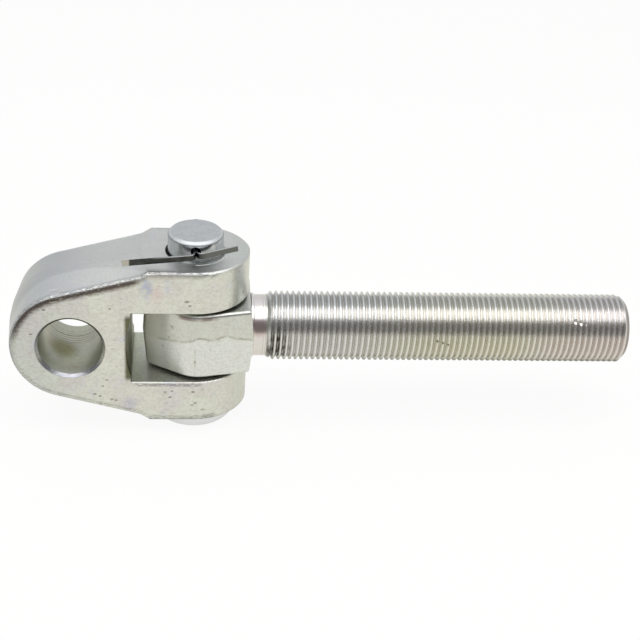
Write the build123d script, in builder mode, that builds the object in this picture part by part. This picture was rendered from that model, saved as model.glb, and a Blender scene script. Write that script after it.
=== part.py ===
from build123d import *
import os
from math import atan2, cos, radians, sin, sqrt, tan

# Clevis rod end: a forged fork with a cross bore in its nose, an eye forged on a
# threaded rod that swivels between the fork's ears, the headed pin that joins
# them and the split pin that keeps it in.
#
# Millimetres.  Origin: centre of the cross bore.  +X runs along the rod, the
# cross bore is on Y and the clevis pin stands on Z.  Both forgings were split
# on a parting plane: Y = 0 for the fork, a plane parallel to Z = 0 for the eye.

# --- Driving dimensions: fork ---------------------------------------------------
pin_reach = 62.0            # cross bore axis to pin axis
body_width = 50.0           # over the two flat side faces
cross_bore_d = 32.0
bore_chamfer = 1.5
nose_wall = 14.0            # metal round the bore, at the side faces
draft_angle = 5.0           # die draft of the fork, from its parting plane
trim_land_width = 8.0       # flat band ground along the parting line, where the flash was
flank_angle = 15.0          # slope of the two flanks
boss_lead = 28.3            # foot of the ear boss, this far before the pin axis
boss_angle = 34.0           # slope of the step from flank to ear boss
boss_foot_radius = 8.0
boss_stock = 8.0            # forged height that was milled off the ears
ear_thickness = 23.2
ear_front_swell = 2.5       # front half of the ears' end: arc radius over half the body width
ear_back_swell = 3.0        # back half, an arc about the pin axis: the same
ear_ridge_radius = 6.0      # blend where the two arcs meet
ear_back_blend = 10.0       # blend from the back arc to the side face
side_edge_radius = 2.4      # rounded rim of the side faces
milled_edge_chamfer = 0.8
slot_edge_chamfer = 0.5
throat_gap = 5.7            # free space between the eye's back and the end wall
relief_depth = 2.5          # forged hollow in the end wall, at the side faces
relief_radius = 55.5
relief_draft_angle = 7.0

# --- Driving dimensions: eye and rod ---------------------------------------------
eye_thickness = 37.0
eye_parting_z = 2.5         # the eye's parting plane lies above the rod's axis
eye_side_gap = 1.5          # play between the eye and each ear
eye_back = 26.3             # pin axis to the blunt back of the eye
eye_back_width = 20.9
eye_back_radius = 3.5
eye_back_angle = 33.7       # slope of the two diagonals behind the pin
eye_crown_radius = 18.8     # rounding at the widest place
eye_draft_angle = 5.5
eye_edge_radius = 2.2
shoulder_reach = 30.0       # pin axis to the shoulder
shoulder_width = 39.4
shoulder_angle = 12.5       # taper of the eye's sides towards the shoulder
neck_d = 32.0
neck_length = 6.6
thread_d = 36.0
thread_length = 190.2
rod_end_chamfer = 3.0

# --- Driving dimensions: clevis pin and split pin --------------------------------
pin_d = 28.0
pin_fit = 0.08              # radial play of the pin in its holes
pin_hole_chamfer = 1.2
pin_projection = 11.0       # end of the pin above the upper ear
pin_end_chamfer = 1.5
pin_head_d = 41.0
pin_head_height = 7.0
pin_head_chamfer = 1.2
pin_head_gap = 0.2
split_hole_d = 4.6
split_hole_height = 6.2     # hole axis above the upper ear
split_hole_chamfer = 0.3
split_wire_d = 3.2          # the two half-round legs laid together
split_leg_gap = 0.1
split_roll = 5.5            # the split pin sits turned in its hole by this angle
split_leg_standoff = 4.7    # pin surface to the outer face of the bent legs
split_leg_bend = 3.0
split_long_leg = 36.2
split_short_leg = 21.9
split_short_angle = 18.0    # the short leg is bent back round the pin by this
split_eye_start = 1.4       # pin surface to the root of the split pin's eye
split_eye_root_bend = 2.2
split_eye_bore = 3.4
split_eye_reach = 6.2       # pin surface to the far inside of the eye
split_long_splay = 1.0

# --- Sizes that follow -----------------------------------------------------------
half_width = body_width / 2
ear_front_radius = half_width + ear_front_swell
ear_back_radius = half_width + ear_back_swell
nose_radius = cross_bore_d / 2 + nose_wall
parting_nose_radius = nose_radius + half_width * tan(radians(draft_angle))
trimmed_nose_radius = parting_nose_radius - trim_land_width / 2 * tan(radians(draft_angle))
slot_gap = eye_thickness + 2 * eye_side_gap
slot_wall_x = pin_reach - eye_back - throat_gap
ear_face_z = slot_gap / 2 + ear_thickness
ear_reach = max(ear_front_radius, ear_back_radius)
shoulder_x = pin_reach + shoulder_reach
thread_x = shoulder_x + neck_length
rod_end_x = thread_x + thread_length
pin_hole_d = pin_d + 2 * pin_fit
pin_end_z = ear_face_z + pin_projection
pin_seat_z = -ear_face_z - pin_head_gap
split_hole_z = ear_face_z + split_hole_height

os.makedirs("parts", exist_ok=True)


# --- Fork ------------------------------------------------------------------------
# Outline of the forging on its parting plane: a round nose, straight flanks that
# leave it tangentially, and a short steeper step up to the ears.
def fork_outline(nose_r):
    """Return the closed side outline about the bore, for a nose of radius nose_r."""
    lean = radians(flank_angle)
    tangent_x = -nose_r * sin(lean)
    tangent_y = nose_r * cos(lean)
    foot_x = pin_reach - boss_lead
    foot_y = tangent_y + (foot_x - tangent_x) * tan(lean)
    top_y = ear_face_z + boss_stock
    top_x = foot_x + (top_y - foot_y) / tan(radians(boss_angle))
    end_x = pin_reach + ear_reach + boss_stock
    with BuildSketch() as outline:
        with BuildLine():
            CenterArc((0, 0), nose_r, 90 + flank_angle, 180 - 2 * flank_angle)
            for side in (1, -1):
                FilletPolyline(
                    (tangent_x, side * tangent_y),
                    (foot_x, side * foot_y),
                    (top_x, side * top_y),
                    (end_x, side * top_y),
                    radius=[boss_foot_radius, boss_foot_radius / 2],
                )
            Line((end_x, top_y), (end_x, -top_y))
        make_face()
    return outline.sketch


# One die half, drawn flat and drafted upwards from the parting plane, then trimmed
# flat where the flash was.
with BuildPart() as die_half:
    extrude(fork_outline(parting_nose_radius), amount=half_width, taper=draft_angle)
    rim = die_half.faces().sort_by(Axis.Z)[-1]
    fillet(rim.edges().filter_by_position(Axis.X, -nose_radius, pin_reach), side_edge_radius)
    extrude(fork_outline(trimmed_nose_radius), amount=half_width, mode=Mode.INTERSECT)

# Forged hollow that runs into the slot's end wall from one side face: part of a
# drafted cone about an axis parallel to Y, as wide as the slot.
relief_axis_x = slot_wall_x - relief_depth + relief_radius
relief_inner_radius = relief_radius - half_width * tan(radians(relief_draft_angle))
with BuildPart() as side_relief:
    with BuildSketch(Plane.XZ.offset(half_width)):
        with Locations((relief_axis_x, 0)):
            Circle(relief_radius)
    with BuildSketch(Plane.XZ):
        with Locations((relief_axis_x, 0)):
            Circle(relief_inner_radius)
    loft()
    with BuildSketch(Plane.XZ):
        with Locations((slot_wall_x, 0)):
            Rectangle(2 * relief_depth + throat_gap, slot_gap)
    extrude(amount=half_width, mode=Mode.INTERSECT)

# Envelope of the finished fork: parallel sides, two end arcs that meet in a ridge,
# and the milled ear faces with their broken edges.
with BuildPart() as fork_envelope:
    with BuildSketch() as fork_plan:
        with Locations((pin_reach, ear_front_radius - half_width)):
            Circle(ear_front_radius)
        with Locations((pin_reach, 0)):
            Circle(ear_back_radius, mode=Mode.INTERSECT)
        with Locations((pin_reach, 0)):
            Rectangle(2 * ear_reach, body_width, mode=Mode.INTERSECT)
        with Locations((pin_reach, 0)):
            Rectangle(2 * pin_reach, body_width, align=(Align.MAX, Align.CENTER))
        fillet(fork_plan.vertices().sort_by(Axis.X)[-1], ear_ridge_radius)
        back_corner = fork_plan.vertices().group_by(Axis.Y)[-1].sort_by(Axis.X)[-1]
        fillet(back_corner, ear_back_blend)
    extrude(amount=ear_face_z, both=True)
    chamfer(fork_envelope.faces().filter_by(Axis.Z).edges(), milled_edge_chamfer)

with BuildPart() as clevis_body:
    add(die_half.part, rotation=(90, 0, 0))
    mirror(about=Plane.XZ)
    add(fork_envelope.part, mode=Mode.INTERSECT)
    # Slot for the eye, with the forged hollows in its end wall.
    with BuildSketch(Plane.XZ):
        with Locations((slot_wall_x, 0)):
            Rectangle(2 * pin_reach, slot_gap, align=(Align.MIN, Align.CENTER))
    extrude(amount=body_width, both=True, mode=Mode.SUBTRACT)
    add(side_relief.part, mode=Mode.SUBTRACT)
    mirror(side_relief.part, about=Plane.XZ, mode=Mode.SUBTRACT)
    for level in (1, -2):
        ear_wall = clevis_body.faces().filter_by(Axis.Z).group_by(Axis.Z)[level][0]
        end_edge = ear_wall.edges().sort_by(Axis.X)[0]
        chamfer(ear_wall.edges() - [end_edge], slot_edge_chamfer)
    # Cross bore, and the pin holes through both ears.
    with Locations(Plane.XZ):
        Hole(cross_bore_d / 2)
    with Locations((pin_reach, 0, 0)):
        Hole(pin_hole_d / 2)
    bore_rims = clevis_body.edges().filter_by(GeomType.CIRCLE)
    chamfer(bore_rims.filter_by(lambda e: abs(e.radius - cross_bore_d / 2) < 0.01), bore_chamfer)
    for level in (0, -1):
        ear_face = clevis_body.faces().filter_by(Axis.Z).group_by(Axis.Z)[level][0]
        chamfer(ear_face.inner_wires()[0].edges(), pin_hole_chamfer)
clevis_body.part.label = "clevis_body"
export_step(clevis_body.part, "parts/clevis_body.step")


# --- Rod with its eye --------------------------------------------------------------
# Plan outline of the eye on its parting plane, from the blunt back to the shoulder.
back_x = pin_reach - eye_back
back_slope = tan(radians(eye_back_angle))
side_slope = tan(radians(shoulder_angle))
crown_x = (
    shoulder_width / 2 + side_slope * shoulder_x - eye_back_width / 2 + back_slope * back_x
) / (back_slope + side_slope)
crown_y = eye_back_width / 2 + back_slope * (crown_x - back_x)
with BuildSketch() as eye_outline:
    with BuildLine():
        Polyline(
            (back_x, -eye_back_width / 2),
            (crown_x, -crown_y),
            (shoulder_x, -shoulder_width / 2),
            (shoulder_x, shoulder_width / 2),
            (crown_x, crown_y),
            (back_x, eye_back_width / 2),
            close=True,
        )
    make_face()
    fillet(eye_outline.vertices().group_by(Axis.X)[1], eye_crown_radius)
    fillet(eye_outline.vertices().group_by(Axis.X)[0], eye_back_radius)


def eye_half(height):
    """Return one die half of the eye: drafted upwards from Z = 0, with a rounded rim."""
    with BuildPart() as half:
        extrude(eye_outline.sketch, amount=height, taper=eye_draft_angle)
        fillet(half.faces().sort_by(Axis.Z)[-1].edges(), eye_edge_radius)
    return half.part


upper_half = eye_half(eye_thickness / 2 - eye_parting_z)
lower_half = eye_half(eye_thickness / 2 + eye_parting_z)
with BuildPart() as threaded_rod:
    with Locations((0, 0, eye_parting_z)):
        add(upper_half)
        add(lower_half, rotation=(180, 0, 0))
    # Neck and shank, turned about the rod's axis.
    with BuildSketch(Plane.XZ) as shank_half:
        with BuildLine():
            Polyline(
                (pin_reach, 0),
                (pin_reach, neck_d / 2),
                (thread_x, neck_d / 2),
                (thread_x + (thread_d - neck_d) / 2, thread_d / 2),
                (rod_end_x - rod_end_chamfer, thread_d / 2),
                (rod_end_x, thread_d / 2 - rod_end_chamfer),
                (rod_end_x, 0),
                close=True,
            )
        make_face()
    revolve(axis=Axis.X)
    with Locations((pin_reach, 0, 0)):
        Hole(pin_hole_d / 2)
threaded_rod.part.label = "threaded_rod"
export_step(threaded_rod.part, "parts/threaded_rod.step")


# --- Clevis pin ----------------------------------------------------------------------
with BuildPart() as clevis_pin:
    with BuildSketch(Plane.XZ):
        with BuildLine():
            Polyline(
                (pin_reach, pin_seat_z - pin_head_height),
                (pin_reach + pin_head_d / 2 - pin_head_chamfer, pin_seat_z - pin_head_height),
                (pin_reach + pin_head_d / 2, pin_seat_z - pin_head_height + pin_head_chamfer),
                (pin_reach + pin_head_d / 2, pin_seat_z),
                (pin_reach + pin_d / 2, pin_seat_z),
                (pin_reach + pin_d / 2, pin_end_z - pin_end_chamfer),
                (pin_reach + pin_d / 2 - pin_end_chamfer, pin_end_z),
                (pin_reach, pin_end_z),
                close=True,
            )
        make_face()
    revolve(axis=Axis((pin_reach, 0, 0), (0, 0, 1)))
    with Locations(Plane.XZ.offset(pin_d).shift_origin((pin_reach, -pin_d, split_hole_z))):
        Hole(split_hole_d / 2, depth=2 * pin_d)
    hole_wall = clevis_pin.faces().filter_by(GeomType.CYLINDER).sort_by(SortBy.RADIUS)[0]
    chamfer(hole_wall.edges().filter_by(GeomType.LINE, reverse=True), split_hole_chamfer)
clevis_pin.part.label = "clevis_pin"
export_step(clevis_pin.part, "parts/clevis_pin.step")


# --- Split pin ------------------------------------------------------------------------
# One half-round wire, flat side inwards: long leg, up through the hole, round the
# eye behind the pin, back through the hole and out along the short leg.  The path
# follows the flat side in a plane that holds the hole's axis.
roll = radians(split_roll)
wire_r = split_wire_d / 2
leg_x = split_leg_gap / 2
leg_out_y = -(pin_d / 2 + split_leg_standoff)
eye_root_y = pin_d / 2 + split_eye_start
eye_bore_r = split_eye_bore / 2
eye_centre_y = pin_d / 2 + split_eye_reach - eye_bore_r
eye_span = eye_centre_y - eye_root_y
flare = atan2(eye_bore_r, sqrt(eye_span**2 - eye_bore_r**2))
eye_side_x = eye_bore_r * cos(flare)
eye_side_y = eye_centre_y - eye_bore_r * sin(flare)
split_sag = (split_hole_d - split_wire_d) / 2 - split_leg_gap
split_plane = Plane(
    origin=(pin_reach, 0, split_hole_z - split_sag),
    x_dir=(cos(roll), 0, sin(roll)),
    z_dir=(-sin(roll), 0, cos(roll)),
)
with BuildPart() as split_pin:
    with BuildLine(split_plane) as wire_path:
        FilletPolyline(
            (-split_long_leg, leg_out_y - split_long_leg * sin(radians(split_long_splay))),
            (-leg_x, leg_out_y),
            (-leg_x, eye_root_y),
            (-eye_side_x, eye_side_y),
            radius=[split_leg_bend, split_eye_root_bend],
        )
        ThreePointArc(
            (-eye_side_x, eye_side_y),
            (0, eye_centre_y + eye_bore_r),
            (eye_side_x, eye_side_y),
        )
        FilletPolyline(
            (eye_side_x, eye_side_y),
            (leg_x, eye_root_y),
            (leg_x, leg_out_y),
            (
                leg_x + split_short_leg * cos(radians(split_short_angle)),
                leg_out_y + split_short_leg * sin(radians(split_short_angle)),
            ),
            radius=[split_eye_root_bend, split_leg_bend],
        )
    start = wire_path.wire() @ 0
    heading = wire_path.wire() % 0
    with BuildSketch(Plane(origin=start, x_dir=split_plane.z_dir.cross(heading), z_dir=heading)):
        Circle(wire_r)
        Rectangle(wire_r, 2 * split_wire_d, align=(Align.MAX, Align.CENTER), mode=Mode.SUBTRACT)
    sweep()
split_pin.part.label = "split_pin"
export_step(split_pin.part, "parts/split_pin.step")
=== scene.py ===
from math import cos, pi, radians, sin

import bmesh
import bpy
import numpy as np
from mathutils import Matrix, Vector


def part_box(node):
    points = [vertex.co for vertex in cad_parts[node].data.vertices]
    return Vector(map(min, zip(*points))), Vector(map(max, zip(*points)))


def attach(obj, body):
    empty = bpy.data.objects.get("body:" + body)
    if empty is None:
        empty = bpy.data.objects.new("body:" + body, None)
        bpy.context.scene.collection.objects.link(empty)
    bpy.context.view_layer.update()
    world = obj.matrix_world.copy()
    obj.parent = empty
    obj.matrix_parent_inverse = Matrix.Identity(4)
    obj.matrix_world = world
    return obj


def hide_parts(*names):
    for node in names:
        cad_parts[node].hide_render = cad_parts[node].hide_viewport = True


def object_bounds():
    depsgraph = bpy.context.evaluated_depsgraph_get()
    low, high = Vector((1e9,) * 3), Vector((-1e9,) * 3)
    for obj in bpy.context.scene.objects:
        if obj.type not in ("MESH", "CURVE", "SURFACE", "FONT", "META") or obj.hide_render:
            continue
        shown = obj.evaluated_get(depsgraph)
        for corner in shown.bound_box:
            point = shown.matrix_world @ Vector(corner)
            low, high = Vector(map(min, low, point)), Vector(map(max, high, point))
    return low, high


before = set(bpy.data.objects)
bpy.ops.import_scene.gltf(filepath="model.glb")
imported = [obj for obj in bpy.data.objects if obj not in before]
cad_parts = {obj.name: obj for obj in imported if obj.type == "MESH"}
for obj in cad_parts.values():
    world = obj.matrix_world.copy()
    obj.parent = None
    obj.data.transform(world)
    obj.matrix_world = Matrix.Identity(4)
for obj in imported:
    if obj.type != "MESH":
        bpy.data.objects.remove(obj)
cad_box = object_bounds()
MM = 0.001

# --- Fork: a hot forging in carbon steel, its flash trimmed off, the ears, slot and
# bore machined, then zinc plated and passivated, which leaves a pale skin with faint
# rainbow tints.  It carries the rod on the clevis pin.
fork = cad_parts["clevis_body"]

# Sizes in mm: X runs from the cross bore's axis to the rod, Y along the bore and Z up.
pin_x = 62.0
half_width = 25.0
bore_radius = 16.0
bore_rim_radius = 17.5
nose_radius = 30.0
flank_lean = radians(15)
boss_foot_x = 33.7
boss_foot_z = 40.1
boss_lean = radians(34)
ear_face_z = 43.2
slot_half = 20.0
slot_wall_x = 30.0
hollow_floor_x = 27.5
pin_hole_rim_radius = 15.4


def linear(hex_colour):
    """sRGB hex to linear RGBA: c becomes ((c + 0.055) / 1.055) ** 2.4, or c / 12.92 when dark."""
    c = np.array([int(hex_colour[i:i + 2], 16) for i in (1, 3, 5)]) / 255
    return (*np.where(c > 0.04045, ((c + 0.055) / 1.055) ** 2.4, c / 12.92), 1.0)


def add(tree, kind, inputs=None, **settings):
    """Add a shader node; inputs are values or sockets, keyed by the input's name or number."""
    made = tree.nodes.new("ShaderNode" + kind)
    for key, value in settings.items():
        setattr(made, key, value)
    for key, value in (inputs or {}).items():
        if isinstance(value, bpy.types.NodeSocket):
            tree.links.new(value, made.inputs[key])
        else:
            made.inputs[key].default_value = value
    return made


def formula(tree, operation, *values):
    """One step of arithmetic on sockets or numbers."""
    return add(tree, "Math", dict(enumerate(values)), operation=operation).outputs[0]


def product(tree, *values):
    """Product of sockets or numbers."""
    total = values[0]
    for value in values[1:]:
        total = formula(tree, "MULTIPLY", total, value)
    return total


def step(tree, value, low, high):
    """0 below low, 1 above high and smooth between; falling when low is above high."""
    found = add(tree, "MapRange", {0: value, 1: low, 2: high}, interpolation_type="SMOOTHSTEP")
    return found.outputs[0]


def blend(tree, share, first, second):
    """Colour first where share is 0, second where it is 1."""
    return add(tree, "Mix", {0: share, 6: first, 7: second}, data_type="RGBA").outputs[2]


def stain(tree, share, colour, tint):
    """Colour multiplied by a tint, by the given share."""
    inputs = {0: share, 6: colour, 7: linear(tint)}
    return add(tree, "Mix", inputs, data_type="RGBA", blend_type="MULTIPLY").outputs[2]


def noise(tree, place, size_mm, detail=2.0, roughness=0.5):
    """Smooth random value about 0.5, with blobs of the given size."""
    inputs = {"Vector": place, "Scale": 1 / size_mm, "Detail": detail, "Roughness": roughness}
    return add(tree, "TexNoise", inputs).outputs[0]


def turned_place(tree, place, turn, stretch, shift=(0.0, 0.0, 0.0)):
    """The place in mm after a turn about Y and a stretch along X, Y and Z."""
    inputs = {0: place, 1: shift, 2: (0.0, turn, 0.0), 3: [1 / size for size in stretch]}
    return add(tree, "Mapping", inputs).outputs[0]


def spot(tree, place, centre, inner, outer):
    """1 within inner mm of a centre, fading to 0 at outer mm."""
    gap = add(tree, "VectorMath", {0: place, 1: centre}, operation="DISTANCE").outputs["Value"]
    return step(tree, gap, outer, inner)


def off_axis(tree, across):
    """Distance from an axis in mm, from the two coordinates across it, keyed by their slots."""
    flat = add(tree, "CombineXYZ", across).outputs[0]
    return add(tree, "VectorMath", {0: flat}, operation="LENGTH").outputs["Value"]


def start_metal(name):
    """A new metal: its tree, its shader, the place in mm, and that place's x, y and z."""
    material = bpy.data.materials.new(name)
    material.use_nodes = True
    tree = material.node_tree
    shader = tree.nodes["Principled BSDF"]
    shader.inputs["Metallic"].default_value = 1.0
    here = add(tree, "TexCoord").outputs["Object"]
    place = add(tree, "VectorMath", {0: here, "Scale": 1 / MM}, operation="SCALE").outputs[0]
    x, y, z = add(tree, "SeparateXYZ", {0: place}).outputs
    return material, tree, shader, place, x, y, z


def dress(tree, shader, colour, roughness, height, edge_mm):
    """Link colour and roughness, and turn a height in mm into relief over slightly rounded edges."""
    edges = add(tree, "Bevel", {"Radius": edge_mm * MM}, samples=6)
    relief = add(tree, "Bump", {"Height": height, "Distance": MM, "Normal": edges.outputs[0]})
    tree.links.new(colour, shader.inputs["Base Color"])
    tree.links.new(roughness, shader.inputs["Roughness"])
    tree.links.new(relief.outputs[0], shader.inputs["Normal"])


def plated_skin(tree, place, green, pink, blue, flecked):
    """Zinc plate over a scaled forging: greenish, pinkish and bluish greys that drift over 15 mm, a
    mottle of 1.5 mm, and short slanting flecks where scale pits show: colour, roughness, height."""
    # The real mottle and flecks are finer than a pixel, so both are drawn coarser.
    drift = noise(tree, place, 15.0, 3.0, 0.6)
    elsewhere = turned_place(tree, place, 0.0, (1, 1, 1), (90, 40, 20))
    cloud = noise(tree, elsewhere, 11.0, 3.0, 0.6)
    skin = blend(tree, step(tree, drift, 0.36, 0.66), linear(green), linear(pink))
    skin = blend(tree, step(tree, cloud, 0.54, 0.80), skin, linear(blue))
    mottle = noise(tree, place, 1.5, 4.0, 0.7)
    skin = stain(tree, step(tree, mottle, 0.62, 0.34), skin, "#F0EFEC")
    fleck = noise(tree, turned_place(tree, place, radians(24), (3.4, 1.5, 0.8)), 1.0, 3.0, 0.6)
    fleck = step(tree, fleck, 0.54, 0.80)
    skin = stain(tree, product(tree, fleck, flecked), skin, "#D2CCC5")
    grain = noise(tree, place, 0.9, 3.0, 0.6)
    height = formula(tree, "MULTIPLY_ADD", fleck, -0.04, product(tree, grain, 0.04))
    return skin, formula(tree, "MULTIPLY_ADD", mottle, 0.14, 0.26), height


# Zinc plate on forged steel, passivated: a satin grey metal, faintly green, pink and blue
# where the passive film varies, flecked where scale left the forging pitted.
fork_steel, tree, shader, place, x, y, z = start_metal("zinc_plated_forged_steel")
skin, roughness, height = plated_skin(
    tree, place, green="#DFE2DA", pink="#DCDAD8", blue="#D6D8E1", flecked=0.6
)
skin = stain(tree, step(tree, x, 20.0, -22.0), skin, "#EFF1F5")
across = formula(tree, "ABSOLUTE", y)
aside = formula(tree, "ABSOLUTE", z)

# Distance inwards from the side outline: from the nose circle, the flank line or the
# boss line, whichever the place lies under, and from the milled ear face.
from_bore = off_axis(tree, {0: x, 2: z})
from_nose = formula(tree, "SUBTRACT", nose_radius, from_bore)
under_flank = formula(tree, "MULTIPLY_ADD", aside, -cos(flank_lean), nose_radius)
from_flank = formula(tree, "MULTIPLY_ADD", x, sin(flank_lean), under_flank)
boss_level = boss_foot_z * cos(boss_lean) - boss_foot_x * sin(boss_lean)
under_boss = formula(tree, "MULTIPLY_ADD", aside, -cos(boss_lean), boss_level)
from_boss = formula(tree, "MULTIPLY_ADD", x, sin(boss_lean), under_boss)
from_side = formula(tree, "MAXIMUM", from_flank, from_boss)
rise = product(tree, aside, sin(flank_lean))
past_nose = formula(tree, "MULTIPLY_ADD", x, cos(flank_lean), rise)
on_flank = formula(tree, "GREATER_THAN", past_nose, 0.0)
from_top = formula(tree, "SUBTRACT", ear_face_z, aside)
inwards = add(tree, "Mix", {0: on_flank, 2: from_nose, 3: from_side}).outputs[0]
inwards = formula(tree, "MINIMUM", inwards, from_top)

# The outer edge is a shade darker and duller, and darkest round the nose.
outline = step(tree, inwards, 1.5, 0.3)
skin = stain(tree, product(tree, outline, step(tree, x, 15.0, -10.0)), skin, "#E2E4E6")
skin = blend(tree, product(tree, outline, 0.5), skin, linear("#D5D8D7"))
roughness = formula(tree, "MULTIPLY_ADD", outline, 0.08, roughness)

# The rim is ragged, and below the upper one lies a brownish dark streak with a darker line
# along its top: in part left by the trimmed flash, in part a painted dark reflection of the
# grey room in front, which the rim's lower rounding mirrors.  Both are fainter on the ear.
waver = 4.0
ragged = noise(tree, turned_place(tree, place, -flank_lean, (2.6, 1.5, 1.0)), 1.0, 3.0, 0.65)
below_rim = formula(tree, "MULTIPLY_ADD", formula(tree, "SUBTRACT", ragged, 0.5), waver, inwards)
streak = product(
    tree,
    step(tree, across, half_width - 0.8, half_width - 0.1),
    step(tree, below_rim, 4.8, 2.6),
    step(tree, z, -2.0, 12.0),
)
on_ear = step(tree, x, 31.0, 36.0)
fainter = formula(tree, "MULTIPLY_ADD", on_ear, -0.75, 1.0)
streak = product(tree, streak, fainter)
skin = stain(tree, product(tree, streak, step(tree, ragged, 0.1, 0.5)), skin, "#B4AEAC")
line = product(
    tree,
    fainter,
    step(tree, across, half_width - 0.8, half_width - 0.4),
    step(tree, below_rim, 3.2, 2.0),
    step(tree, z, 2.0, 14.0),
)
skin = stain(tree, product(tree, line, step(tree, ragged, 0.2, 0.5)), skin, "#A59E9B")

# The rounded rim of the side faces is darker in patches, and so is the milled edge.
rim = product(
    tree,
    step(tree, across, 22.3, 23.4),
    step(tree, across, half_width - 0.1, half_width - 0.7),
    step(tree, inwards, 4.0, 2.5),
)
skin = stain(tree, product(tree, rim, step(tree, ragged, 0.60, 0.35)), skin, "#D2D0D4")
milled_edge = product(
    tree,
    step(tree, across, half_width - 1.0, half_width - 0.7),
    step(tree, from_top, 1.0, 0.7),
)
skin = stain(tree, product(tree, milled_edge, step(tree, ragged, 0.64, 0.40)), skin, "#CFCDD1")

# The ears' ends are painted a trace darker: painted shade where they curve away from the light.
skin = stain(tree, step(tree, x, 76.0, 88.0), skin, "#F9FBF9")

# Rainbow stain of the passivation in front of the boss, blue at its middle, pink beside it,
# and a fainter blue one low on the same face.
stain_height = 1.7
tall = turned_place(tree, place, 0.0, (1.0, 1.0, stain_height))
blue = spot(tree, tall, (37.8, -half_width, 34.5 / stain_height), 0.5, 5.0)
blue = product(tree, blue, step(tree, noise(tree, place, 3.0, 2.0), 0.3, 0.6))
pink = spot(tree, tall, (43.0, -half_width, 31.5 / stain_height), 0.5, 5.0)
low_blue = spot(tree, place, (29.5, -half_width, -33.0), 1.0, 6.0)
skin = stain(tree, product(tree, pink, 0.6), skin, "#FFE9F0")
skin = stain(tree, blue, skin, "#D6DCFA")
skin = stain(tree, product(tree, low_blue, 0.7), skin, "#E4E4FA")

# Pits left by scale, on the front face: place along X and Z, and half length, in mm.
pits = (
    (15.9, -22.3, 0.5), (18.0, -18.7, 0.5), (11.8, -27.2, 0.7), (14.3, -28.4, 0.6), (20.3, -30.3, 0.6),
    (22.4, -30.9, 0.6), (14.7, -33.4, 0.6), (66.8, -36.8, 0.9), (62.6, -32.5, 0.6), (57.9, 27.4, 0.8),
    (59.4, 25.1, 0.6), (66.6, -24.5, 0.6), (61.5, -25.7, 0.7), (61.1, -33.7, 0.5), (47.3, -25.8, 0.5),
    (50.8, -25.2, 0.5), (49.8, -28.9, 0.6), (20.0, 23.0, 0.5), (-19.0, 8.0, 0.5), (-12.0, 22.0, 0.6),
)
pit_stretch = 2.0
pit_depth = 0.15
pitted = 0.0
long_pits = turned_place(tree, place, 0.0, (pit_stretch, 1.0, 1.0))
for pit_x, pit_z, half_length in pits:
    centre = (pit_x / pit_stretch, -half_width, pit_z)
    pit = spot(tree, long_pits, centre, 0.0, 1.2 * half_length)
    pitted = formula(tree, "MAXIMUM", pitted, pit)
skin = stain(tree, pitted, skin, "#A29A92")
height = formula(tree, "MULTIPLY_ADD", pitted, -pit_depth, height)

# The band ground along the parting line and what lies behind it are a shade darker: partly
# the band's own ground finish, partly painted shade on the top's back half, which tilts away
# from the light.  Its front edge bows with the square of x.
band_bow = 0.011
band = formula(tree, "MULTIPLY_ADD", product(tree, x, x), band_bow, y)
behind = product(tree, step(tree, band, -6.5, -4.0), step(tree, inwards, 2.5, 1.0))
skin = stain(tree, behind, skin, "#F2F2F2")

# Inside the bore the plate is painted olive and darker away from the front mouth, as painted
# shade deep in the bore, with rings left by boring and, low down, a film of old oil.
in_bore = step(tree, from_bore, bore_radius + 0.4, bore_radius + 0.1)
skin = stain(tree, product(tree, in_bore, step(tree, y, -27.0, -17.0)), skin, "#D6D6C6")
ring_place = add(tree, "CombineXYZ", {1: y}).outputs[0]
rings = step(tree, noise(tree, ring_place, 1.4, 2.0, 0.7), 0.55, 0.60)
rings = product(tree, in_bore, rings, step(tree, y, 2.0, 7.0), step(tree, y, 20.0, 15.0))
skin = stain(tree, rings, skin, "#9A998C")
skin = stain(tree, product(tree, in_bore, step(tree, x, 5.0, 13.0)), skin, "#E3E5E9")
oil = product(tree, in_bore, spot(tree, place, (-6.0, -1.0, -15.0), 3.0, 12.0))
skin = stain(tree, oil, skin, "#BDBD9C")

# The bore's chamfer is bluish, greyer low down, and painted olive and darker at the sides
# and above, a painted reflection of the dark bore that it mirrors there.
bore_rim = product(
    tree,
    step(tree, from_bore, bore_rim_radius + 0.3, bore_rim_radius - 0.1),
    step(tree, from_bore, bore_radius, bore_radius + 0.2),
)
low_rim = product(tree, bore_rim, step(tree, z, -16.3, -14.0), step(tree, z, -4.0, -12.0))
skin = stain(tree, low_rim, skin, "#DBDADD")
skin = stain(tree, product(tree, bore_rim, step(tree, z, -12.0, -7.0)), skin, "#DCDDCF")
skin = stain(tree, bore_rim, skin, "#F4F4FF")

# The slot is olive and duller too.  Its end wall is painted darker, most of all in front
# and in its lower half, and so is the floor close to it: painted shade deep in the slot.
in_slot = product(
    tree,
    step(tree, x, hollow_floor_x - 0.2, hollow_floor_x + 0.1),
    step(tree, aside, slot_half + 0.3, slot_half + 0.1),
    step(tree, across, half_width - 0.05, half_width - 0.3),
)
skin = stain(tree, in_slot, skin, "#F5F6F0")
slot_end_shade = product(tree, in_slot, step(tree, x, slot_wall_x + 0.4, slot_wall_x + 0.15))
skin = stain(tree, slot_end_shade, skin, "#D6D7CA")
skin = stain(tree, product(tree, slot_end_shade, step(tree, y, -21.0, -24.0)), skin, "#B8B9A6")
skin = stain(tree, product(tree, slot_end_shade, step(tree, z, 2.0, -12.0)), skin, "#DADBD2")
slot_floor_shade = product(tree, in_slot, step(tree, z, -15.0, -19.0), step(tree, x, 38.0, 34.0))
skin = stain(tree, slot_floor_shade, skin, "#EEF0EA")
roughness = formula(tree, "MULTIPLY_ADD", in_slot, 0.12, roughness)

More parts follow.
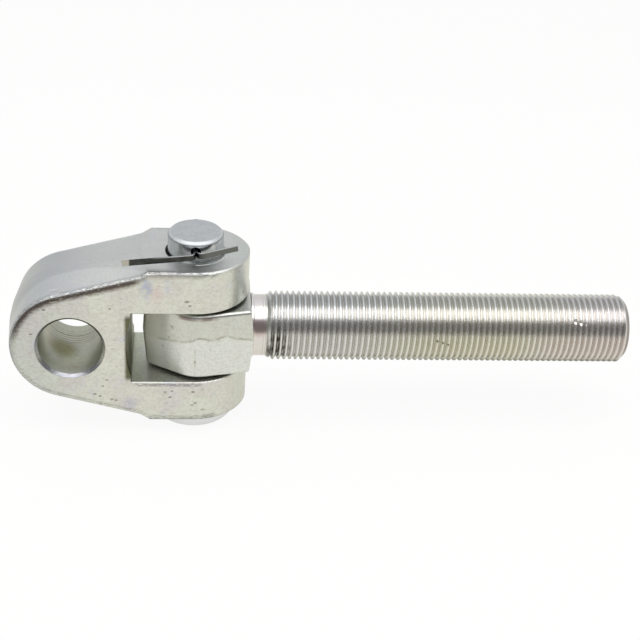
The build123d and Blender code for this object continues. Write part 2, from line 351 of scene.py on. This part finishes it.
# Painted shade: the forged hollows in the end wall, at the side faces, are painted dark
# olive, as the deep shade that lies in them.
hollow = product(
    tree,
    step(tree, x, hollow_floor_x - 1.2, hollow_floor_x + 0.7),
    step(tree, x, slot_wall_x + 0.2, slot_wall_x),
    step(tree, aside, 20.3, 16.8),
    step(tree, across, half_width - 0.5, half_width - 0.1),
)
skin = stain(tree, hollow, skin, "#7E7F68")

# A broken scuffed line follows the slot's lower edge.
scuff_drop = 1.6
from_scuff = formula(tree, "ABSOLUTE", formula(tree, "ADD", z, slot_half + scuff_drop))
scuffed = product(
    tree,
    step(tree, across, half_width - 0.6, half_width - 0.2),
    step(tree, from_scuff, 1.3, 0.3),
    step(tree, ragged, 0.35, 0.55),
    step(tree, x, 31.0, 33.0),
    step(tree, x, 72.0, 60.0),
)
skin = stain(tree, scuffed, skin, "#C2BDC6")

# Painted shade in the countersink round the clevis pin, on its side towards the nose.
from_pin = off_axis(tree, {0: formula(tree, "SUBTRACT", x, pin_x), 1: y})
countersink_shade = step(tree, from_pin, pin_hole_rim_radius, pin_hole_rim_radius - 0.3)
skin = stain(tree, product(tree, countersink_shade, step(tree, x, pin_x - 6.0, pin_x - 12.0)), skin, "#3A3936")

# Drilling left a low burr round the hole's front side, towards the rod, and the milled
# face in front of the pin is a trace darker.
burr_height = 0.8
burr = product(
    tree,
    step(tree, from_pin, pin_hole_rim_radius + 1.5, pin_hole_rim_radius + 0.2),
    step(tree, from_top, 0.4, 0.2),
    step(tree, y, -4.0, -8.0),
    step(tree, x, pin_x - 1.0, pin_x + 1.0),
    step(tree, ragged, 0.25, 0.6),
)
height = formula(tree, "MULTIPLY_ADD", burr, burr_height, height)
in_front = product(
    tree,
    step(tree, from_pin, 25.0, 18.0),
    step(tree, from_top, 0.4, 0.2),
    step(tree, y, -6.0, -14.0),
)
skin = stain(tree, in_front, skin, "#F2F3F3")

# Knocks near the nose tilt small patches of the rim forwards, where they catch the light:
# place and reach in mm, and the rise for each mm along Y.
knocks = ((-7.5, -18.2, 29.6, 1.5), (-6.4, -22.6, 29.6, 2.4), (2.0, -22.4, 31.8, 1.8))
knock_stretch = 2.4
knock_slope = 0.3
long_knocks = turned_place(tree, place, 0.0, (knock_stretch, 1.0, 1.0))
for knock_x, knock_y, knock_z, reach in knocks:
    knock = spot(tree, long_knocks, (knock_x / knock_stretch, knock_y, knock_z), 0.2, reach)
    tilt = product(tree, formula(tree, "SUBTRACT", y, knock_y), knock_slope)
    height = formula(tree, "MULTIPLY_ADD", knock, tilt, height)

# The forged faces wave a little, and the rim is rough to the touch: heights in mm.
wave_height = 0.14
rim_relief = 0.9
wave = noise(tree, place, 7.0, 2.0)
height = formula(tree, "MULTIPLY_ADD", wave, wave_height, height)
near_rim = product(
    tree,
    step(tree, across, 21.5, 23.5),
    step(tree, inwards, 4.0, 1.0),
    step(tree, from_top, 0.5, 1.5),
)
height = formula(tree, "MULTIPLY_ADD", product(tree, near_rim, ragged), rim_relief, height)
dress(tree, shader, skin, roughness, height, edge_mm=0.3)
fork.data.materials.clear()
fork.data.materials.append(fork_steel)

# --- Rod: one forging, an eye at one end and a long thread rolled on the other, with
# a short turned neck between them.  It is plated like the fork and swings on the pin.
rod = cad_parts["threaded_rod"]
shoulder_x = 92.0
neck_end_x = 98.6


def finish_mesh(name, points, faces, sharp_degrees):
    """A closed, smooth piece from points and quads: doubles merged, holes filled, faces outwards."""
    mesh = bpy.data.meshes.new(name)
    mesh.from_pydata(points, [], faces.tolist())
    shape = bmesh.new()
    shape.from_mesh(mesh)
    bmesh.ops.remove_doubles(shape, verts=shape.verts, dist=1e-7)
    bmesh.ops.dissolve_degenerate(shape, edges=shape.edges, dist=1e-7)
    bmesh.ops.delete(shape, geom=[v for v in shape.verts if not v.link_faces], context="VERTS")
    bmesh.ops.holes_fill(shape, edges=[e for e in shape.edges if e.is_boundary])
    bmesh.ops.recalc_face_normals(shape, faces=shape.faces)
    shape.to_mesh(mesh)
    shape.free()
    mesh.polygons.foreach_set("use_smooth", np.ones(len(mesh.polygons), bool))
    mesh.set_sharp_from_angle(angle=radians(sharp_degrees))
    made = bpy.data.objects.new(name, mesh)
    bpy.context.scene.collection.objects.link(made)
    return made


# The eye keeps the forging's own mesh, cut off at the shoulder and closed there.
eye = rod.copy()
eye.data = rod.data.copy()
eye.name = "rod_eye"
bpy.context.scene.collection.objects.link(eye)
eye.data.attributes.remove(eye.data.attributes["custom_normal"])
shape = bmesh.new()
shape.from_mesh(eye.data)
bmesh.ops.remove_doubles(shape, verts=shape.verts, dist=1e-6)
beyond = [v for v in shape.verts if v.co.x > (shoulder_x + 0.01) * MM]
bmesh.ops.delete(shape, geom=beyond, context="VERTS")
bmesh.ops.holes_fill(shape, edges=[e for e in shape.edges if e.is_boundary])
shape.to_mesh(eye.data)
shape.free()
eye.data.polygons.foreach_set("use_smooth", np.ones(len(eye.data.polygons), bool))
eye.data.set_sharp_from_angle(angle=radians(25))
flat_faces = eye.modifiers.new("flat_faces", "WEIGHTED_NORMAL")
flat_faces.keep_sharp = True
for key in list(eye.keys()):
    del eye[key]

# Zinc plate on the eye's forging: the same satin skin as the fork's, a little paler and less
# flecked, and paler still on the two diagonals behind the pin.
eye_steel, tree, shader, place, x, y, z = start_metal("zinc_plated_eye_forging")
skin, roughness, height = plated_skin(
    tree, place, green="#E3E6E4", pink="#E2E4E3", blue="#E0E3E6", flecked=0.4
)
skin = blend(tree, step(tree, x, 48.0, 40.0), skin, linear("#F4F5F2"))

# The flash line wanders over the side: its height in mm at stations along X.  The curve
# node holds both as shares, of flash_length and of flash_height.
flash_path = (
    (40, 0.0), (45, 0.6), (50, 1.6), (55, 2.6), (60, 3.7), (65, 5.6),
    (69, 4.6), (72, 4.3), (77, 5.5), (82, 4.2), (90, 2.2),
)
flash_start_x = 40.0
flash_length = 50.0
flash_height = 10.0
share = formula(tree, "MULTIPLY_ADD", x, 1 / flash_length, -flash_start_x / flash_length)
path = add(tree, "FloatCurve", {"Value": share})
curve = path.mapping.curves[0]
for station, level in flash_path[1:-1]:
    curve.points.new((station - flash_start_x) / flash_length, level / flash_height)
curve.points[0].location = (0.0, flash_path[0][1] / flash_height)
curve.points[-1].location = (1.0, flash_path[-1][1] / flash_height)
path.mapping.update()
wander = noise(tree, turned_place(tree, place, 0.0, (1.6, 1.0, 1.0)), 1.0, 3.0, 0.6)
above_flash = formula(tree, "SUBTRACT", z, product(tree, path.outputs[0], flash_height))
above_flash = formula(
    tree, "MULTIPLY_ADD", formula(tree, "SUBTRACT", wander, 0.5), 1.6, above_flash
)

# The line is darker where it isn't broken, and the side above it is painted a shade darker
# than below: painted shade, as the two drafted halves take the light differently.
broken = step(tree, noise(tree, place, 5.0, 2.0), 0.30, 0.6)
line = product(
    tree,
    step(tree, above_flash, -0.5, 0.3),
    step(tree, above_flash, 1.8, 0.5),
    broken,
    step(tree, x, 40.0, 48.0),
)
skin = stain(tree, product(tree, line, 0.7), skin, "#CCC9BE")
skin = stain(tree, step(tree, above_flash, -0.6, 0.8), skin, "#F2F2EE")
# The top face, under the upper ear, is painted darker: painted shade.
skin = stain(tree, step(tree, z, 17.0, 19.0), skin, "#E2E2E2")

# Smudges on the front, as place along X and Z and size in mm: they reach through the
# rounding, because the place is pressed flat along Y.
smudge_spots = (
    (50.6, 9.7, 1.5), (49.1, 3.6, 1.1), (62.3, -8.0, 1.3), (46.0, -3.0, 0.8), (70.0, -1.0, 0.8),
)
smudge_y = -22.0
flattening = 40
flat_place = turned_place(tree, place, 0.0, (1, flattening, 1))
smudges = 0.0
for smudge_x, smudge_z, size in smudge_spots:
    smudge = spot(tree, flat_place, (smudge_x, smudge_y / flattening, smudge_z), 0.0, size)
    smudges = formula(tree, "MAXIMUM", smudges, smudge)
skin = stain(tree, product(tree, smudges, 0.7), skin, "#B9B7AC")

# A faint seam from the die runs down the front, and the top rim is reddish brown in places.
seam_x = 62.2
from_seam = formula(tree, "ABSOLUTE", formula(tree, "SUBTRACT", x, seam_x))
seam = product(tree, step(tree, from_seam, 0.7, 0.1), step(tree, z, 1.5, -1.0), broken)
skin = stain(tree, product(tree, seam, step(tree, y, 0.0, -2.0)), skin, "#E6E5DF")
top_rim = product(
    tree,
    step(tree, z, 15.0, 16.2),
    step(tree, z, 17.8, 17.0),
    step(tree, x, 50.0, 56.0),
    step(tree, x, 76.0, 70.0),
    broken,
)
skin = stain(tree, top_rim, skin, "#B3A4A6")

# The diagonals are duller, the flash line stands up as a ridge and the forged sides wave.
ridge_height = 0.08
wave_height = 0.16
roughness = formula(tree, "MULTIPLY_ADD", step(tree, x, 51.0, 44.0), 0.25, roughness)
ridge = product(tree, step(tree, above_flash, -0.9, 0.0), step(tree, above_flash, 0.9, 0.0))
height = formula(tree, "MULTIPLY_ADD", ridge, ridge_height, height)
wave = noise(tree, place, 8.0, 2.0)
height = formula(tree, "MULTIPLY_ADD", wave, wave_height, height)
dress(tree, shader, skin, roughness, height, edge_mm=0.3)
eye.data.materials.clear()
eye.data.materials.append(eye_steel)
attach(eye, "rod")
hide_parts("threaded_rod")


def turned_surface(stations, radii, around):
    """A surface of revolution about X: (x, r cos a, r sin a) for each station's x and r."""
    angle = 2 * pi * np.arange(around) / around
    x = np.repeat(np.asarray(stations)[:, None], around, axis=1)
    radius = np.asarray(radii)[:, None]
    points = np.stack([x, radius * np.cos(angle), radius * np.sin(angle)], axis=-1).reshape(-1, 3)
    row, column = np.meshgrid(np.arange(len(stations) - 1), np.arange(around), indexing="ij")
    beside = (column + 1) % around
    corners = (
        row * around + column,
        row * around + beside,
        (row + 1) * around + beside,
        (row + 1) * around + column,
    )
    return points * MM, np.stack([c.ravel() for c in corners], axis=1)


# The neck: a quarter-round fillet at the shoulder and two fine grooves before the thread.
neck_radius = 16.0
root_fillet = 0.7
groove_places = (96.85, 98.05)
groove_depth = 0.15
sweep = np.linspace(0, pi / 2, 7)
neck_stations = [shoulder_x - 1.0, *(shoulder_x + root_fillet * (1 - np.cos(sweep)))]
neck_radii = [neck_radius + root_fillet, *(neck_radius + root_fillet * (1 - np.sin(sweep)))]
for groove_x in groove_places:
    neck_stations += [groove_x - groove_depth, groove_x, groove_x + groove_depth]
    neck_radii += [neck_radius, neck_radius - groove_depth, neck_radius]
neck_stations.append(neck_end_x + 0.1)
neck_radii.append(neck_radius)
neck = finish_mesh("rod_neck", *turned_surface(neck_stations, neck_radii, 160), 40)

# Zinc plate on turned steel: smoother and glossier than the forgings, with fine tool rings
# and a reddish patch in front, at the shoulder.
neck_steel, tree, shader, place, *_ = start_metal("zinc_plated_turned_neck")
drift = noise(tree, place, 6.0, 2.0)
skin = blend(tree, step(tree, drift, 0.35, 0.65), linear("#E0DED8"), linear("#DDD8D8"))
reddish = spot(tree, place, (94.5, -14.5, 6.5), 2.0, 6.0)
skin = stain(tree, product(tree, reddish, 0.8), skin, "#D9C4C6")
grain = noise(tree, turned_place(tree, place, 0.0, (0.5, 6.0, 6.0)), 1.0, 2.0)
roughness = formula(tree, "MULTIPLY_ADD", grain, 0.1, 0.18)
dress(tree, shader, skin, roughness, product(tree, grain, 0.004), edge_mm=0.1)
neck.data.materials.append(neck_steel)
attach(neck, "rod")
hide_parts("threaded_rod")

# The thread, M36 x 3, rolled to a broad rounded crest and a narrow root; it runs out
# against the neck and ends in a turned chamfer.
pitch = 3.0
hand = -1
rod_radius = 18.0
crest_radius = 17.9
thread_depth = 1.8
thread_start_x = 98.0
thread_phase = 0.52
start_sink = 0.5
run_out_slope = 0.7
rod_end_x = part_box("threaded_rod")[1].x / MM
end_chamfer = 3.0

# One pitch of the thread: the share of the pitch at each point, and its depth in mm.
profile_share = np.array(
    [0.0, 0.06, 0.085, 0.115, 0.27, 0.42, 0.46, 0.54, 0.58, 0.73, 0.885, 0.915, 0.94]
)
profile_mm = np.array(
    [0.0, 0.0, 0.03, 0.10, 0.91, 1.685, 1.8, 1.8, 1.685, 0.91, 0.10, 0.03, 0.0]
)
around = 108


def helical_thread():
    """Rows run along the helix: x = start + pitch * (row share + hand * angle / turn), held
    between the ends; the radius follows the profile's depth, a run-out slope and an end cone."""
    per_turn = len(profile_share)
    turns = int((rod_end_x - thread_start_x) / pitch) + 5
    share = (np.arange(-3, turns)[:, None] + profile_share[None, :]).ravel()
    depth = np.tile(profile_mm, turns + 3)
    angle = np.arange(around) / around
    x = thread_start_x + thread_phase + pitch * (share[:, None] + hand * angle[None, :])
    x = np.clip(x, thread_start_x, rod_end_x)
    radius = crest_radius - depth[:, None]
    sunk_start = neck_radius - start_sink
    sunk_start = sunk_start + start_sink * (x - thread_start_x) / (neck_end_x - thread_start_x)
    run_out = neck_radius + run_out_slope * (x - neck_end_x)
    run_out = np.where(x < neck_end_x, sunk_start, run_out)
    end_cone = rod_radius - end_chamfer + (rod_end_x - x)
    radius = np.minimum(radius, np.minimum(run_out, end_cone))
    turn = 2 * pi * angle[None, :]
    points = np.stack([x, radius * np.cos(turn), radius * np.sin(turn)], axis=-1).reshape(-1, 3)
    row, column = np.meshgrid(np.arange(len(share) - 1), np.arange(around), indexing="ij")
    last = column == around - 1
    next_row = np.where(last, row + hand * per_turn, row)
    next_column = np.where(last, 0, column + 1)
    kept = (next_row >= 0) & (next_row < len(share) - 1)
    row, column, next_row, next_column = (a[kept] for a in (row, column, next_row, next_column))
    faces = np.stack(
        [
            row * around + column,
            next_row * around + next_column,
            (next_row + 1) * around + next_column,
            (row + 1) * around + column,
        ],
        axis=1,
    )
    return points * MM, faces


thread = finish_mesh("rod_thread", *helical_thread(), 50)

# Zinc plate on a rolled thread: bright rounded crests and roots painted darker as shade in
# the grooves, a warmer cast towards the end, a warm painted reflection of the floor below,
# and a darker turned cone at the very end.
thread_steel, tree, shader, place, x, y, z = start_metal("zinc_plated_rolled_thread")
skin = blend(tree, step(tree, x, 120.0, 200.0), linear("#E0E0E0"), linear("#E1E0DB"))
skin = blend(tree, step(tree, x, 230.0, 285.0), skin, linear("#E0DDDD"))
# Painted reflection: the lower half is tinted warm, where it mirrors the floor.
below = step(tree, z, 8.0, 0.0)
midway = product(tree, below, step(tree, x, 140.0, 195.0), step(tree, x, 245.0, 225.0))
skin = stain(tree, midway, skin, "#FBFBF3")
skin = stain(tree, product(tree, below, step(tree, x, 230.0, 255.0)), skin, "#FCF8F6")
radial = off_axis(tree, {0: y, 1: z})
root_radius = crest_radius - thread_depth
# Painted shade: the roots are darker.
skin = stain(tree, step(tree, radial, crest_radius - 0.9, root_radius + 0.1), skin, "#E6E4E0")
cone_start_x = rod_end_x - end_chamfer
skin = stain(tree, step(tree, x, cone_start_x + 0.4, cone_start_x + 1.2), skin, "#C2C1BF")

# Specks in the plate, drawn coarser than the real ones, and dark grime in the grooves near
# the neck.
speck = noise(tree, place, 0.8, 3.0, 0.6)
skin = stain(tree, step(tree, speck, 0.55, 0.75), skin, "#CFCDC8")
grime = noise(tree, turned_place(tree, place, 0.0, (1.0, 2.0, 4.0)), 1.2, 3.0, 0.7)
in_groove = step(tree, radial, crest_radius + 0.05, crest_radius - 0.9)
grime = product(tree, step(tree, grime, 0.30, 0.62), in_groove)
grime_stretch = 2.0
tall_grime = turned_place(tree, place, 0.0, (1.0, grime_stretch, grime_stretch))
grime_centre = (104.0, -16.0 / grime_stretch, -6.0 / grime_stretch)
near_neck = spot(tree, tall_grime, grime_centre, 3.0, 8.5)
skin = stain(tree, product(tree, grime, near_neck), skin, "#5C5852")

# Painted shade: the underside is darker, the more so lower down, where it mirrors the part's
# own shadow on the floor, and the top is painted a shade darker than the side.
skin = stain(tree, step(tree, z, -8.0, -14.5), skin, "#AFAD9D")
skin = stain(tree, step(tree, z, -11.5, -15.0), skin, "#9A998C")
skin = stain(tree, step(tree, z, 14.0, 17.0), skin, "#E5E7E6")
roughness = formula(tree, "MULTIPLY_ADD", speck, 0.12, 0.20)
height = product(tree, speck, 0.02)

# Three dark nicks in the crests half way along, and two dents nearer the end: places in mm.
nicks = ((186.6, -17.8, 1.5), (189.5, -17.9, 0.5), (192.4, -17.9, -0.6))
dents = ((259.5, -13.6, 11.6), (262.4, -14.1, 11.1))
dent_depth = 0.5
for nick_place in nicks:
    nick = spot(tree, place, nick_place, 0.3, 1.1)
    skin = stain(tree, nick, skin, "#6B685E")
for dent_place in dents:
    dent = spot(tree, place, dent_place, 0.1, 1.6)
    height = formula(tree, "MULTIPLY_ADD", dent, -dent_depth, height)
dress(tree, shader, skin, roughness, height, edge_mm=0.1)
thread.data.materials.append(thread_steel)
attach(thread, "rod")
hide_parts("threaded_rod")

# --- Clevis pin: turned from bar, plated, a flat head below the fork and a cross hole
# at the top for the split pin.
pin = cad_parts["clevis_pin"]
pin_radius = 14.0
pin_projection = 11.0
pin_end_chamfer = 1.5
pin_end_z = ear_face_z + pin_projection
pin_chamfer_z = pin_end_z - pin_end_chamfer
pin_end_radius = pin_radius - pin_end_chamfer

# Zinc plate on turned bar: smooth, cooler and a little darker than the forgings, with faint
# upright streaks on its side painted as reflections, a band of painted shade under the end
# chamfer and a duller rim round its end.  Its head is painted paler, a painted reflection
# of the bright floor.
pin_steel, tree, shader, place, x, y, z = start_metal("zinc_plated_turned_pin")
drift = noise(tree, place, 5.0, 3.0, 0.6)
skin = blend(tree, step(tree, drift, 0.35, 0.65), linear("#C9CDCF"), linear("#D1D4D5"))
skin = stain(tree, step(tree, z, pin_end_z - 0.4, pin_end_z - 0.1), skin, "#F3F3F3")
speck = noise(tree, place, 0.7, 3.0, 0.6)
skin = stain(tree, step(tree, speck, 0.55, 0.8), skin, "#D2D2D0")
# Painted reflections: faint upright streaks on the side.
reflection_streaks = noise(tree, turned_place(tree, place, 0.0, (2.0, 2.0, 40.0)), 1.0, 2.0)
on_side = step(tree, z, pin_chamfer_z - 0.3, pin_chamfer_z - 0.7)
skin = stain(tree, product(tree, step(tree, reflection_streaks, 0.42, 0.66), on_side), skin, "#EDEFF0")
# Painted shade: a darker band just under the end chamfer.
shade_under_rim = product(
    tree,
    step(tree, z, pin_chamfer_z + 0.5, pin_chamfer_z + 0.2),
    step(tree, z, pin_chamfer_z - 0.7, pin_chamfer_z - 0.1),
)
skin = stain(tree, shade_under_rim, skin, "#BDBFC1")
# Painted light: the head is paler.
on_head = step(tree, z, 1.2 - ear_face_z, -ear_face_z - 0.3)
skin = blend(tree, on_head, skin, linear("#E4E6EC"))
from_axis = off_axis(tree, {0: formula(tree, "SUBTRACT", x, pin_x), 1: y})
end_rim = product(
    tree,
    step(tree, from_axis, pin_end_radius - 0.2, pin_end_radius + 0.2),
    step(tree, z, pin_chamfer_z - 0.3, pin_chamfer_z + 0.1),
)
roughness = formula(tree, "MULTIPLY_ADD", drift, 0.1, 0.2)
roughness = formula(tree, "MULTIPLY_ADD", end_rim, 0.22, roughness)
dress(tree, shader, skin, roughness, product(tree, speck, 0.004), edge_mm=0.3)
pin.data.materials.clear()
pin.data.materials.append(pin_steel)

# --- Split pin: half-round bare steel wire, folded into an eye, its legs bent apart
# in front of the clevis pin.
split_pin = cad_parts["split_pin"]

# Bare drawn wire: dark grey and fairly glossy, lighter on the short leg and at the cut end
# of the long one.
long_leg_end_x = 29.0
leg_slope = 0.0965
leg_height = 42.82
wire_steel, tree, shader, place, x, y, z = start_metal("bare_half_round_wire")
drift = noise(tree, place, 3.0, 2.0)
skin = blend(tree, step(tree, drift, 0.35, 0.65), linear("#3A3C3B"), linear("#484947"))
skin = blend(tree, step(tree, x, pin_x + 1.0, pin_x + 6.0), skin, linear("#6A6B68"))
cut_end = step(tree, x, long_leg_end_x + 1.0, long_leg_end_x)
skin = blend(tree, cut_end, skin, linear("#B4B2A9"))
# The legs' upper edges are painted bright, a painted highlight: height above the line both
# legs follow.
over_start = formula(tree, "SUBTRACT", z, leg_height)
over_leg = formula(tree, "MULTIPLY_ADD", x, -leg_slope, over_start)
edge_highlight = product(tree, step(tree, over_leg, 0.95, 1.3), step(tree, x, 38.0, 52.0))
skin = blend(tree, edge_highlight, skin, linear("#B9BBC0"))
speck = noise(tree, place, 0.5, 3.0, 0.6)
roughness = formula(tree, "MULTIPLY_ADD", speck, 0.1, 0.22)
dress(tree, shader, skin, roughness, product(tree, speck, 0.006), edge_mm=0.25)
split_pin.data.materials.clear()
split_pin.data.materials.append(wire_steel)

# --- Floor, room, softbox and camera: the part stands on a large sheet of matt white
# card, in a pale room, under one softbox.  Sizes are in metres, the camera's place in mm.
floor_z = cad_box[0].z
floor_half = 6.0
floor_mesh = bpy.data.meshes.new("floor")
floor_mesh.from_pydata(
    [(sx * floor_half, sy * floor_half, floor_z) for sx, sy in ((-1, -1), (1, -1), (1, 1), (-1, 1))],
    [],
    [(0, 1, 2, 3)],
)
floor = bpy.data.objects.new("floor", floor_mesh)
bpy.context.scene.collection.objects.link(floor)

# Matt white card: it takes a soft shadow, and the eye, or metal that mirrors it, sees it as
# close to white.
seen_as_white = 0.92
mirrored_as_white = 0.8
white_card = bpy.data.materials.new("matt_white_floor")
white_card.use_nodes = True
tree = white_card.node_tree
tree.nodes.clear()
matt = add(tree, "BsdfDiffuse", {"Color": linear("#F3F2EC")})
rays = add(tree, "LightPath")
shown = blend(tree, rays.outputs["Is Camera Ray"], linear("#FBF9F0"), (1.0, 1.0, 1.0, 1.0))
glow = add(tree, "Emission", {"Color": shown, "Strength": 1.0})
seen = product(tree, rays.outputs["Is Camera Ray"], seen_as_white)
mirrored = product(tree, rays.outputs["Is Glossy Ray"], mirrored_as_white)
seen = formula(tree, "MAXIMUM", seen, mirrored)
mixed = add(tree, "MixShader", {0: seen, 1: matt.outputs[0], 2: glow.outputs[0]})
add(tree, "OutputMaterial", {"Surface": mixed.outputs[0]})
floor_mesh.materials.append(white_card)

# The room is lighter overhead.  In front of the part and below the ceiling it is grey, which
# gives the plated faces something darker to mirror.
world = bpy.data.worlds.new("studio")
bpy.context.scene.world = world
world.use_nodes = True
tree = world.node_tree
tree.nodes.clear()
direction = add(tree, "TexCoord").outputs["Generated"]
heading = add(tree, "SeparateXYZ", {0: direction}).outputs
front = step(tree, heading["Y"], 0.2, -0.2)
overhead = step(tree, heading["Z"], 0.45, 0.97)
under_ceiling = step(tree, heading["Z"], 0.80, 0.70)
room = blend(tree, overhead, linear("#E4E5E8"), linear("#FBFCFE"))
room = blend(tree, product(tree, front, under_ceiling), room, linear("#8A8988"))
rays = add(tree, "LightPath")
seen = blend(tree, rays.outputs["Is Camera Ray"], room, (1.0, 1.0, 1.0, 1.0))
sky = add(tree, "Background", {"Color": seen, "Strength": 1.0})
add(tree, "OutputWorld", {"Surface": sky.outputs[0]})

softbox = bpy.data.lights.new("overhead_softbox", "AREA")
softbox.shape = "RECTANGLE"
softbox.size = 1.4
softbox.size_y = 0.60
softbox.energy = 4.15
lamp = bpy.data.objects.new("overhead_softbox", softbox)
lamp.location = (0.12, -0.20, 0.7)
bpy.context.scene.collection.objects.link(lamp)

# The camera looks down on the part from in front: its place in mm, the way it looks and
# the way its right side points.
camera_place = (55.45, -626.75, 371.65)
view_forward = (0.09822, 0.85786, -0.50441)
view_right = (0.99511, -0.07958, 0.05846)
camera_data = bpy.data.cameras.new("camera")
camera_data.lens = 78.75
camera_data.sensor_width = 36.0
camera_data.clip_start = 0.01
camera = bpy.data.objects.new("camera", camera_data)
bpy.context.scene.collection.objects.link(camera)
forward = Vector(view_forward).normalized()
right = Vector(view_right)
right = (right - right.dot(forward) * forward).normalized()
upward = right.cross(forward)
camera.matrix_world = Matrix(
    (
        (right.x, upward.x, -forward.x, camera_place[0] * MM),
        (right.y, upward.y, -forward.y, camera_place[1] * MM),
        (right.z, upward.z, -forward.z, camera_place[2] * MM),
        (0, 0, 0, 1),
    )
)
bpy.context.scene.camera = camera
bpy.context.scene.view_settings.view_transform = "Standard"
